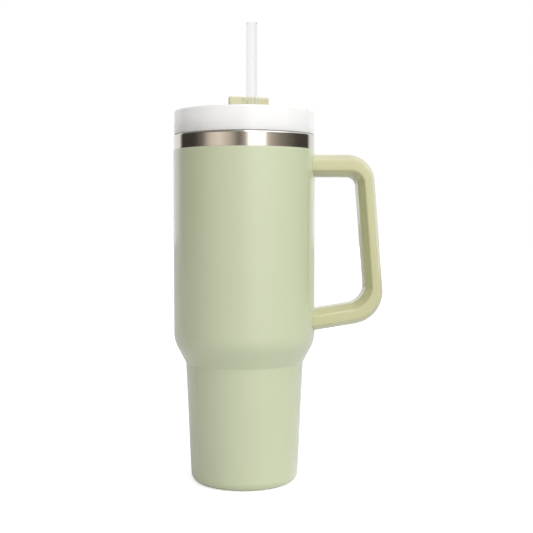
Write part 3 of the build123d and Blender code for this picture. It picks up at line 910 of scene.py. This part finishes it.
# %% Powder coat
shell_paint = new_finish(
    "powder_coat_sage",
    (0.535, 0.588, 0.388),
    (0.565, 0.618, 0.414),
    dict(scale=900.0, detail=3.0),
    relief=[(dict(scale=700.0, detail=1.0), 0.008 * MM), (dict(scale=3200.0), 0.002 * MM)],
    Roughness=(0.40, 0.48),
    IOR=1.5,
    Coat_Weight=1.0,
    Coat_IOR=1.7,
    Coat_Roughness=0.3,
    Sheen_Weight=0.5,
    Sheen_Roughness=0.3,
)
tree = shell_paint.node_tree
facing = add(tree, "ShaderNodeLayerWeight", {"Blend": 0.5}).outputs["Facing"]
gloss = carried(tree, facing, 0.42, 0.72, 0.42, 0.07)
tree.links.new(gloss, tree.nodes["Principled BSDF"].inputs["Coat Roughness"])

# %% [markdown]
# Steel on the neck was spun against an abrasive, so its scratches run round it. Noise that changes
# mostly with height makes rings, and the same rings set how rough it is. A second, very shallow
# relief runs upright and breaks the long reflections a little. Pressed and welded pieces are
# plainer: satin steel with a faint all-over grain.

# %% Steels and the pieces in the vacuum
neck_steel = new_finish(
    "spun_steel",
    (0.61, 0.575, 0.53),
    (0.69, 0.655, 0.61),
    dict(scale=1.0, detail=4.0, stretch=(40, 40, 5200)),
    relief=[
        (dict(scale=1.0, detail=3.0, stretch=(60, 60, 9000)), 0.0003 * MM),
        (dict(scale=1.0, detail=2.0, stretch=(420, 420, 30)), 0.010 * MM),
    ],
    Metallic=1.0,
    Roughness=(0.09, 0.16),
)
plain_steel = new_finish(
    "satin_steel",
    (0.52, 0.51, 0.49),
    (0.60, 0.59, 0.57),
    dict(scale=500.0, detail=5.0),
    relief=[(dict(scale=2600.0, detail=3.0), 0.002 * MM)],
    Metallic=1.0,
    Roughness=(0.28, 0.40),
)
solder = new_finish(
    "solder_bead",
    (0.42, 0.42, 0.43),
    (0.55, 0.55, 0.55),
    dict(scale=1100.0, detail=4.0),
    relief=[(dict(scale=900.0, detail=2.0), 0.03 * MM)],
    Metallic=1.0,
    Roughness=(0.35, 0.5),
)
getter_alloy = new_finish(
    "getter_sinter",
    (0.10, 0.10, 0.105),
    (0.17, 0.165, 0.16),
    dict(scale=2400.0, detail=6.0),
    relief=[(dict(scale=2600.0, detail=4.0), 0.02 * MM)],
    Metallic=0.6,
    Roughness=(0.6, 0.75),
)

# %% [markdown]
# Moulded plastic takes its surface from the steel of the mould. The handle and the turning cover
# have a fine spark-eroded texture, which makes a satin. The lid is polished and slightly
# translucent, so light that enters spreads a little before it leaves.

# %% Plastics
satin_grain = [(dict(scale=2600.0, detail=3.0), 0.002 * MM)]
handle_plastic = new_finish(
    "handle_satin_sage",
    (0.550, 0.541, 0.305),
    (0.580, 0.570, 0.325),
    dict(scale=800.0, detail=3.0),
    relief=satin_grain,
    Roughness=(0.30, 0.38),
    IOR=1.5,
    Coat_Weight=0.6,
    Coat_Roughness=0.08,
)
rotor_plastic = new_finish(
    "cover_satin_sage",
    (0.590, 0.580, 0.370),
    (0.620, 0.610, 0.392),
    dict(scale=800.0, detail=3.0),
    relief=satin_grain,
    Roughness=(0.30, 0.38),
    IOR=1.5,
    Coat_Weight=0.6,
    Coat_Roughness=0.08,
)
lid_plastic = new_finish(
    "lid_gloss_white",
    (0.972, 0.970, 0.968),
    (0.984, 0.982, 0.981),
    dict(scale=260.0, detail=2.0),
    relief=[(dict(scale=420.0, detail=1.0), 0.003 * MM)],
    Roughness=(0.20, 0.26),
    IOR=1.5,
    Subsurface_Weight=1.0,
    Subsurface_Radius=(1.0, 1.0, 1.0),
    Subsurface_Scale=4 * MM,
)
plug_plastic = new_finish(
    "plug_matt_white",
    (0.80, 0.80, 0.78),
    (0.84, 0.84, 0.82),
    dict(scale=600.0, detail=3.0),
    relief=satin_grain,
    Roughness=(0.40, 0.50),
    IOR=1.5,
)
silicone = new_finish(
    "silicone_milky",
    (0.72, 0.73, 0.71),
    (0.78, 0.79, 0.77),
    dict(scale=500.0, detail=2.0),
    relief=[(dict(scale=1800.0, detail=2.0), 0.004 * MM)],
    Roughness=(0.45, 0.55),
    IOR=1.41,
    Subsurface_Weight=0.5,
    Subsurface_Radius=(1.0, 1.0, 1.0),
    Subsurface_Scale=2 * MM,
)

# %% [markdown]
# Clear copolyester lets nearly everything through. What one sees of a clear tube is bending, a few
# reflections and a faint tint, which deepens toward its edges because one looks through more wall
# there. Rays that carry light to what stands behind go straight through, or it would cast the
# shadow of a solid rod.

# %% Clear straw
straw_plastic = new_finish(
    "straw_clear",
    (0.955, 0.943, 0.951),
    (0.975, 0.964, 0.971),
    dict(scale=1.0, detail=2.0, stretch=(600, 600, 30)),
    Roughness=0.0,
    IOR=1.52,
    Transmission_Weight=1.0,
)
tree = straw_plastic.node_tree
shader = tree.nodes["Principled BSDF"]
facing = add(tree, "ShaderNodeLayerWeight", {"Blend": 0.35}).outputs["Facing"]
own_tone = shader.inputs["Base Color"].links[0].from_socket
edge_tint = tones(tree, facing, own_tone, (0.87, 0.84, 0.85, 1))
tree.links.new(edge_tint, shader.inputs["Base Color"])
path = add(tree, "ShaderNodeLightPath").outputs
lets_by = maths(tree, "MAXIMUM", path["Is Shadow Ray"], path["Is Diffuse Ray"])
window = add(tree, "ShaderNodeBsdfTransparent", {"Color": (1, 1, 1, 1)}).outputs[0]
split = {0: lets_by, 1: shader.outputs[0], 2: window}
surface = add(tree, "ShaderNodeMixShader", split).outputs[0]
tree.links.new(surface, tree.nodes["Material Output"].inputs["Surface"])

# %% [markdown]
# The CAD nodes that no new piece replaces, such as brackets, screws and seals, keep their own mesh
# and get the same finishes. One table gives each slot's finish to both kinds.

# %% Finishes go by slot
finishes = {
    "shell_paint": shell_paint,
    "neck_steel": neck_steel,
    "plain_steel": plain_steel,
    "solder": solder,
    "getter_alloy": getter_alloy,
    "handle_plastic": handle_plastic,
    "lid_plastic": lid_plastic,
    "plug_plastic": plug_plastic,
    "silicone": silicone,
    "rotor_plastic": rotor_plastic,
    "straw_plastic": straw_plastic,
}
kept_nodes = {
    "plain_steel": [
        "outer_bottom",
        "base_cover",
        "upper_bracket",
        "lower_bracket",
        "upper_screw",
        "lower_screw",
    ],
    "solder": ["vacuum_seal"],
    "getter_alloy": ["getter"],
    "plug_plastic": ["lid_plug", "rotor_clip"],
    "silicone": ["lid_gasket", "hub_seal", "drink_seal", "straw_seal"],
}
for slot_name, names in kept_nodes.items():
    for name in names:
        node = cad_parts[name]
        node.data.materials.clear()
        node.data.materials.append(finishes[slot_name])
for obj, _, slot_name, _ in rides:
    obj.data.materials.append(finishes[slot_name])
print(len(rides), "new pieces,", sum(len(n) for n in kept_nodes.values()), "CAD nodes kept")

# %% [markdown]
# The camera stands about seven tenths of a metre away at three fifths of the mug's height, with a
# 68 mm lens, and looks down by less than three degrees, so upright lines stay nearly upright.

# %% Camera
camera = bpy.data.objects.new("camera", bpy.data.cameras.new("camera"))
bpy.context.scene.collection.objects.link(camera)
camera.location = (-0.0208, -0.7138, 0.18536)
camera.rotation_euler = Euler((math.radians(87.28), 0, math.radians(-2.92)))
camera.data.sensor_width = 36
camera.data.lens = 68.488
bpy.context.scene.camera = camera
print("camera stands", round(camera.location.length, 3), "m from the foot's middle")

# %% [markdown]
# The floor is white and catches the mug's shadow. It glows a little toward the camera, which takes
# it to the backdrop's white while the light it throws back up stays that of a matt sheet. Through
# the clear straw it glows much less, since the straw's own reflections come on top, and so the tube
# stays a little darker than the floor behind it.

# %% White floor
floor_mesh = bpy.data.meshes.new("floor")
half_side = 6.0
floor_mesh.from_pydata(
    [(x * half_side, y * half_side, -0.1 * MM) for x, y in [(-1, -1), (1, -1), (1, 1), (-1, 1)]],
    [],
    [(0, 1, 2, 3)],
)
floor = bpy.data.objects.new("floor", floor_mesh)
bpy.context.scene.collection.objects.link(floor)
floor_white = bpy.data.materials.new("floor_white")
floor_white.use_nodes = True
tree = floor_white.node_tree
tree.nodes.clear()
path = add(tree, "ShaderNodeLightPath").outputs
camera_glow, straw_glow = 0.70, 0.10
glow_level = maths(tree, "MULTIPLY", path["Is Camera Ray"], camera_glow)
glow_level = maths(tree, "MULTIPLY_ADD", path["Is Transmission Ray"], straw_glow, glow_level)
glow = add(tree, "ShaderNodeEmission", {"Color": (1, 1, 1, 1), "Strength": glow_level}).outputs[0]
matt = add(tree, "ShaderNodeBsdfDiffuse", {"Color": (0.82, 0.82, 0.82, 1)}).outputs[0]
both = add(tree, "ShaderNodeAddShader", {0: glow, 1: matt}).outputs[0]
add(tree, "ShaderNodeOutputMaterial", {"Surface": both})
floor.data.materials.append(floor_white)
print("floor", 2 * half_side, "m square")

# %% [markdown]
# The studio round the mug is all in the world. A white sweep stands behind, a bright window-like
# panel in front to the right, a smaller warm one in front to the left, and dark flags at both
# sides, which draw the steel band's stripes. High up, one large soft source hangs to the right, and
# the left gets a little fill.
# Lamps could stand there instead, but two ramps round the horizon are quicker to tune and to read.

# %% The studio in the world
low_band = [
    (-180, 1.05, 0),
    (-131, 1.05, 0),
    (-122, 0.05, 1),
    (-88, 0.06, 1),
    (-72, 0.21, 1),
    (-57, 0.85, 1),
    (-42, 1.04, 1),
    (-30, 0.80, 1),
    (-22, 0.60, 1),
    (-11, 0.21, 1),
    (-4, 0.34, 1),
    (1, 0.66, 1),
    (6, 1.90, 0),
    (31, 1.90, 0),
    (36, 0.78, 1),
    (44, 0.52, 1),
    (58, 0.31, 1),
    (74, 0.18, 1),
    (92, 0.08, 1),
    (124, 0.06, 1),
    (132, 1.05, 0),
    (180, 1.05, 0),
]
high_band = [
    (-180, 0.40, 0),
    (-150, 0.35, 0),
    (-110, 0.18, 0),
    (-70, 0.18, 0),
    (-30, 0.28, 0),
    (0, 0.60, 0),
    (30, 2.40, 0),
    (60, 2.60, 0),
    (90, 1.00, 0),
    (150, 0.70, 0),
    (180, 0.40, 0),
]
brightest = 3.5
room_tone = np.array([1.0, 0.90, 0.77])

world = bpy.data.worlds.new("studio")
bpy.context.scene.world = world
world.use_nodes = True
tree = world.node_tree
tree.nodes.clear()
way = add(tree, "ShaderNodeTexCoord").outputs["Generated"]
across, along, up = add(tree, "ShaderNodeSeparateXYZ", {0: way}).outputs
azimuth = maths(tree, "ARCTAN2", across, maths(tree, "MULTIPLY", along, -1.0))
turn_share = carried(tree, azimuth, -math.pi, math.pi, 0.0, 1.0)


def band_ramp(stops):
    """Radiance round the horizon as a ramp: each stop is a bearing in degrees from the camera's
    side, positive toward the handle, a level held as a share of the brightest, and how much of
    the room's warm tone it has."""
    ramp = add(tree, "ShaderNodeValToRGB", {"Fac": turn_share}).color_ramp
    while len(ramp.elements) > 1:
        ramp.elements.remove(ramp.elements[-1])
    ramp.elements[0].position = 0.0
    for bearing, _, _ in stops[1:]:
        ramp.elements.new((bearing + 180) / 360)
    for element, (_, level, warmth) in zip(ramp.elements, stops):
        element.color = (*(level / brightest * (1 + warmth * (room_tone - 1))), 1)
    return tree.nodes[-1].outputs["Color"]


def while_climbing(first, last, low, high):
    """Goes smoothly from low to high while a direction climbs from one elevation to another, both
    in degrees, since the upward part of a direction is the sine of its elevation."""
    sines = [math.sin(math.radians(angle)) for angle in (first, last)]
    return carried(tree, up, *sines, low, high, interpolation_type="SMOOTHSTEP")


sky = tones(tree, while_climbing(14, 24, 0.0, 1.0), band_ramp(low_band), band_ramp(high_band))
strength = maths(tree, "MULTIPLY", while_climbing(60, 75, 1.0, 0.35), brightest)
studio = add(tree, "ShaderNodeBackground", {"Color": sky, "Strength": strength}).outputs[0]
sweep = add(tree, "ShaderNodeBackground", {"Color": (1, 1, 1, 1), "Strength": 1.0}).outputs[0]
print("studio bands of", len(low_band), "and", len(high_band), "stops")

# %% [markdown]
# Which of the two a ray meets depends on what sent it. The camera sees the white sweep, and so does
# anything seen through the clear straw. A mirrored ray sees it where it really would stand, within
# 47 degrees of straight behind, and the studio elsewhere, or metal would have nothing to mirror.

# %% White backdrop for the rays that show it
path = add(tree, "ShaderNodeLightPath").outputs
behind = maths(tree, "GREATER_THAN", along, math.cos(math.radians(47)))
mirrored = maths(tree, "MULTIPLY", path["Is Glossy Ray"], behind)
direct = maths(tree, "MAXIMUM", path["Is Camera Ray"], path["Is Transmission Ray"])
through_clear = maths(tree, "GREATER_THAN", path["Transmission Depth"], 0.5)
white_share = maths(tree, "MAXIMUM", mirrored, maths(tree, "MAXIMUM", direct, through_clear))
mixed = add(tree, "ShaderNodeMixShader", {0: white_share, 1: studio, 2: sweep}).outputs[0]
add(tree, "ShaderNodeOutputWorld", {"Surface": mixed})
bpy.context.scene.view_settings.view_transform = "Standard"

# %% [markdown]
# One small lamp hangs above the camera. It is too small to change the shading much, but a rounded
# ridge or rim turns through the angle that mirrors it, and that draws a fine bright line there.

# %% Rim lamp
rim_light = bpy.data.lights.new("rim_lamp", "AREA")
rim_light.shape = "RECTANGLE"
rim_light.size, rim_light.size_y = 0.26, 0.75
rim_light.energy = 4.4
rim_lamp = bpy.data.objects.new("rim_lamp", rim_light)
bpy.context.scene.collection.objects.link(rim_lamp)
rim_lamp.location = (0.15, -0.75, 1.15)
aim = Vector((0.0, 0.0, 0.2)) - rim_lamp.location
rim_lamp.rotation_euler = aim.to_track_quat("-Z", "Y").to_euler()
print("rim lamp", round(aim.length, 2), "m away")
